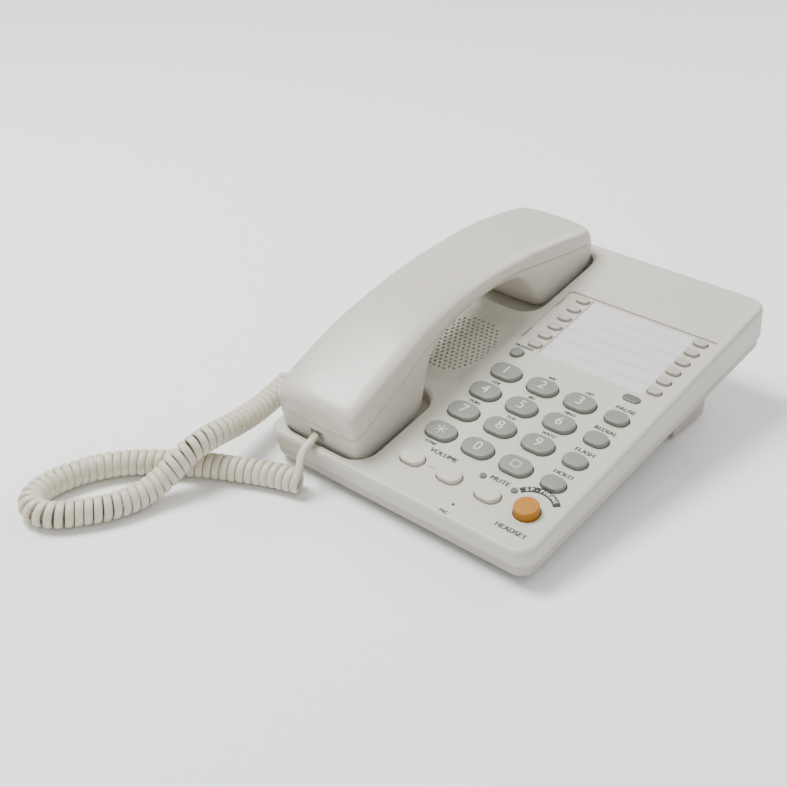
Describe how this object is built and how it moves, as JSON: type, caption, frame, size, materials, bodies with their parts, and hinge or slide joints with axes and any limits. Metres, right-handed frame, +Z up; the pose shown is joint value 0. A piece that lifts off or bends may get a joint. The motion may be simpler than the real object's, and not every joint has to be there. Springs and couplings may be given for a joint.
{
  "type": "corded desk telephone",
  "caption": "Corded desk telephone with a lift-off handset on a cradle, a push-button keypad, one-touch keys beside a label card and a curled handset cord.",
  "frame": {"origin": "middle of the standing case on the table, under its feet", "axes": "+Z up, +Y from the front edge to the back of the case, +X to the right with the handset on the left"},
  "size_m": [0.2078, 0.3178, 0.0801],
  "materials": {
    "case_plastic": "warm off-white moulded ABS, satin gloss",
    "key_pale": "off-white moulded keys",
    "key_grey": "mid grey moulded keys",
    "key_orange": "orange moulded key",
    "cord_jacket": "beige flexible jacket",
    "plug_clear": "clear moulded modular plug",
    "foot_rubber": "soft black rubber",
    "label_paper": "printed card",
    "window_clear": "clear acrylic",
    "board": "paper phenolic board",
    "mat_rubber": "grey silicone",
    "screw_steel": "zinc plated",
    "lamp_dark": "dark tinted lens",
    "dark_moulding": "black moulding"
  },
  "bodies": {
    "case": {"base_cord_jack": "dark_moulding", "base_microphone": "dark_moulding", "bottom_cover": "case_plastic", "case_screws": "screw_steel", "cord_coil": "cord_jacket", "cord_lead_base": "cord_jacket", "cord_lead_handset": "cord_jacket", "keypad_mat": "mat_rubber", "label_card": "label_paper", "label_window": "window_clear", "line_jack": "dark_moulding", "loudspeaker": "dark_moulding", "main_board": "board", "plug_base": "plug_clear", "rear_stand": "case_plastic", "ringer_lamp": "lamp_dark", "rubber_feet": "foot_rubber", "status_lamps": "lamp_dark", "top_cover": "case_plastic"},
    "handset": {"handset_outer_shell": "case_plastic", "handset_inner_shell": "case_plastic", "receiver_capsule": "dark_moulding", "transmitter_capsule": "dark_moulding", "handset_cord_jack": "dark_moulding", "plug_handset": "plug_clear"},
    "hook_plunger": {"hook_plunger": "case_plastic"},
    "ringer_switch": {"ringer_switch": "dark_moulding"},
    "key_eight": {"key_eight": "key_grey"},
    "key_five": {"key_five": "key_grey"},
    "key_flash": {"key_flash": "key_grey"},
    "key_four": {"key_four": "key_grey"},
    "key_hold": {"key_hold": "key_grey"},
    "key_mute": {"key_mute": "key_pale"},
    "key_nine": {"key_nine": "key_grey"},
    "key_one": {"key_one": "key_grey"},
    "key_pause": {"key_pause": "key_grey"},
    "key_program": {"key_program": "key_grey"},
    "key_redial": {"key_redial": "key_grey"},
    "key_seven": {"key_seven": "key_grey"},
    "key_six": {"key_six": "key_grey"},
    "key_speakerphone": {"key_speakerphone": "key_orange"},
    "key_square": {"key_square": "key_grey"},
    "key_star": {"key_star": "key_grey"},
    "key_three": {"key_three": "key_grey"},
    "key_two": {"key_two": "key_grey"},
    "key_volume_down": {"key_volume_down": "key_pale"},
    "key_volume_up": {"key_volume_up": "key_pale"},
    "key_zero": {"key_zero": "key_grey"},
    "memory_left_1": {"memory_left_1": "key_pale"},
    "memory_left_2": {"memory_left_2": "key_pale"},
    "memory_left_3": {"memory_left_3": "key_pale"},
    "memory_left_4": {"memory_left_4": "key_pale"},
    "memory_left_5": {"memory_left_5": "key_pale"},
    "memory_left_6": {"memory_left_6": "key_pale"},
    "memory_right_1": {"memory_right_1": "key_pale"},
    "memory_right_2": {"memory_right_2": "key_pale"},
    "memory_right_3": {"memory_right_3": "key_pale"},
    "memory_right_4": {"memory_right_4": "key_pale"},
    "memory_right_5": {"memory_right_5": "key_pale"},
    "memory_right_6": {"memory_right_6": "key_pale"}
  },
  "joints": [
    {"name": "handset_lift", "type": "slide", "parent": "case", "child": "handset", "axis": [0, -0.1822, 0.9833], "range_m": [0, 0.12]},
    {"name": "hook_plunger_rise", "type": "slide", "parent": "case", "child": "hook_plunger", "axis": [0, -0.1822, 0.9833], "range_m": [0, 0.005]},
    {"name": "ringer_switch_slide", "type": "slide", "parent": "case", "child": "ringer_switch", "axis": [1, 0, 0], "range_m": [-0.003, 0.003]},
    {"name": "key_eight_press", "type": "slide", "parent": "case", "child": "key_eight", "axis": [0, 0.1822, -0.9833], "range_m": [0, 0.0015], "stiffness_N_per_m": 300, "springref_m": -0.0015},
    {"name": "key_five_press", "type": "slide", "parent": "case", "child": "key_five", "axis": [0, 0.1822, -0.9833], "range_m": [0, 0.0015], "stiffness_N_per_m": 300, "springref_m": -0.0015},
    {"name": "key_flash_press", "type": "slide", "parent": "case", "child": "key_flash", "axis": [0, 0.1822, -0.9833], "range_m": [0, 0.0015], "stiffness_N_per_m": 300, "springref_m": -0.0015},
    {"name": "key_four_press", "type": "slide", "parent": "case", "child": "key_four", "axis": [0, 0.1822, -0.9833], "range_m": [0, 0.0015], "stiffness_N_per_m": 300, "springref_m": -0.0015},
    {"name": "key_hold_press", "type": "slide", "parent": "case", "child": "key_hold", "axis": [0, 0.1822, -0.9833], "range_m": [0, 0.0015], "stiffness_N_per_m": 300, "springref_m": -0.0015},
    {"name": "key_mute_press", "type": "slide", "parent": "case", "child": "key_mute", "axis": [0, 0.1822, -0.9833], "range_m": [0, 0.0015], "stiffness_N_per_m": 300, "springref_m": -0.0015},
    {"name": "key_nine_press", "type": "slide", "parent": "case", "child": "key_nine", "axis": [0, 0.1822, -0.9833], "range_m": [0, 0.0015], "stiffness_N_per_m": 300, "springref_m": -0.0015},
    {"name": "key_one_press", "type": "slide", "parent": "case", "child": "key_one", "axis": [0, 0.1822, -0.9833], "range_m": [0, 0.0015], "stiffness_N_per_m": 300, "springref_m": -0.0015},
    {"name": "key_pause_press", "type": "slide", "parent": "case", "child": "key_pause", "axis": [0, 0.1822, -0.9833], "range_m": [0, 0.0015], "stiffness_N_per_m": 300, "springref_m": -0.0015},
    {"name": "key_program_press", "type": "slide", "parent": "case", "child": "key_program", "axis": [0, 0.1822, -0.9833], "range_m": [0, 0.0015], "stiffness_N_per_m": 300, "springref_m": -0.0015},
    {"name": "key_redial_press", "type": "slide", "parent": "case", "child": "key_redial", "axis": [0, 0.1822, -0.9833], "range_m": [0, 0.0015], "stiffness_N_per_m": 300, "springref_m": -0.0015},
    {"name": "key_seven_press", "type": "slide", "parent": "case", "child": "key_seven", "axis": [0, 0.1822, -0.9833], "range_m": [0, 0.0015], "stiffness_N_per_m": 300, "springref_m": -0.0015},
    {"name": "key_six_press", "type": "slide", "parent": "case", "child": "key_six", "axis": [0, 0.1822, -0.9833], "range_m": [0, 0.0015], "stiffness_N_per_m": 300, "springref_m": -0.0015},
    {"name": "key_speakerphone_press", "type": "slide", "parent": "case", "child": "key_speakerphone", "axis": [0, 0.1822, -0.9833], "range_m": [0, 0.0015], "stiffness_N_per_m": 300, "springref_m": -0.0015},
    {"name": "key_square_press", "type": "slide", "parent": "case", "child": "key_square", "axis": [0, 0.1822, -0.9833], "range_m": [0, 0.0015], "stiffness_N_per_m": 300, "springref_m": -0.0015},
    {"name": "key_star_press", "type": "slide", "parent": "case", "child": "key_star", "axis": [0, 0.1822, -0.9833], "range_m": [0, 0.0015], "stiffness_N_per_m": 300, "springref_m": -0.0015},
    {"name": "key_three_press", "type": "slide", "parent": "case", "child": "key_three", "axis": [0, 0.1822, -0.9833], "range_m": [0, 0.0015], "stiffness_N_per_m": 300, "springref_m": -0.0015},
    {"name": "key_two_press", "type": "slide", "parent": "case", "child": "key_two", "axis": [0, 0.1822, -0.9833], "range_m": [0, 0.0015], "stiffness_N_per_m": 300, "springref_m": -0.0015},
    {"name": "key_volume_down_press", "type": "slide", "parent": "case", "child": "key_volume_down", "axis": [0, 0.1822, -0.9833], "range_m": [0, 0.0015], "stiffness_N_per_m": 300, "springref_m": -0.0015},
    {"name": "key_volume_up_press", "type": "slide", "parent": "case", "child": "key_volume_up", "axis": [0, 0.1822, -0.9833], "range_m": [0, 0.0015], "stiffness_N_per_m": 300, "springref_m": -0.0015},
    {"name": "key_zero_press", "type": "slide", "parent": "case", "child": "key_zero", "axis": [0, 0.1822, -0.9833], "range_m": [0, 0.0015], "stiffness_N_per_m": 300, "springref_m": -0.0015},
    {"name": "memory_left_1_press", "type": "slide", "parent": "case", "child": "memory_left_1", "axis": [0, 0.1822, -0.9833], "range_m": [0, 0.0015], "stiffness_N_per_m": 300, "springref_m": -0.0015},
    {"name": "memory_left_2_press", "type": "slide", "parent": "case", "child": "memory_left_2", "axis": [0, 0.1822, -0.9833], "range_m": [0, 0.0015], "stiffness_N_per_m": 300, "springref_m": -0.0015},
    {"name": "memory_left_3_press", "type": "slide", "parent": "case", "child": "memory_left_3", "axis": [0, 0.1822, -0.9833], "range_m": [0, 0.0015], "stiffness_N_per_m": 300, "springref_m": -0.0015},
    {"name": "memory_left_4_press", "type": "slide", "parent": "case", "child": "memory_left_4", "axis": [0, 0.1822, -0.9833], "range_m": [0, 0.0015], "stiffness_N_per_m": 300, "springref_m": -0.0015},
    {"name": "memory_left_5_press", "type": "slide", "parent": "case", "child": "memory_left_5", "axis": [0, 0.1822, -0.9833], "range_m": [0, 0.0015], "stiffness_N_per_m": 300, "springref_m": -0.0015},
    {"name": "memory_left_6_press", "type": "slide", "parent": "case", "child": "memory_left_6", "axis": [0, 0.1822, -0.9833], "range_m": [0, 0.0015], "stiffness_N_per_m": 300, "springref_m": -0.0015},
    {"name": "memory_right_1_press", "type": "slide", "parent": "case", "child": "memory_right_1", "axis": [0, 0.1822, -0.9833], "range_m": [0, 0.0015], "stiffness_N_per_m": 300, "springref_m": -0.0015},
    {"name": "memory_right_2_press", "type": "slide", "parent": "case", "child": "memory_right_2", "axis": [0, 0.1822, -0.9833], "range_m": [0, 0.0015], "stiffness_N_per_m": 300, "springref_m": -0.0015},
    {"name": "memory_right_3_press", "type": "slide", "parent": "case", "child": "memory_right_3", "axis": [0, 0.1822, -0.9833], "range_m": [0, 0.0015], "stiffness_N_per_m": 300, "springref_m": -0.0015},
    {"name": "memory_right_4_press", "type": "slide", "parent": "case", "child": "memory_right_4", "axis": [0, 0.1822, -0.9833], "range_m": [0, 0.0015], "stiffness_N_per_m": 300, "springref_m": -0.0015},
    {"name": "memory_right_5_press", "type": "slide", "parent": "case", "child": "memory_right_5", "axis": [0, 0.1822, -0.9833], "range_m": [0, 0.0015], "stiffness_N_per_m": 300, "springref_m": -0.0015},
    {"name": "memory_right_6_press", "type": "slide", "parent": "case", "child": "memory_right_6", "axis": [0, 0.1822, -0.9833], "range_m": [0, 0.0015], "stiffness_N_per_m": 300, "springref_m": -0.0015}
  ],
  "couplings": [
    {"joint": "hook_plunger_rise", "follows": "handset_lift", "ratio": 0.041667}
  ]
}
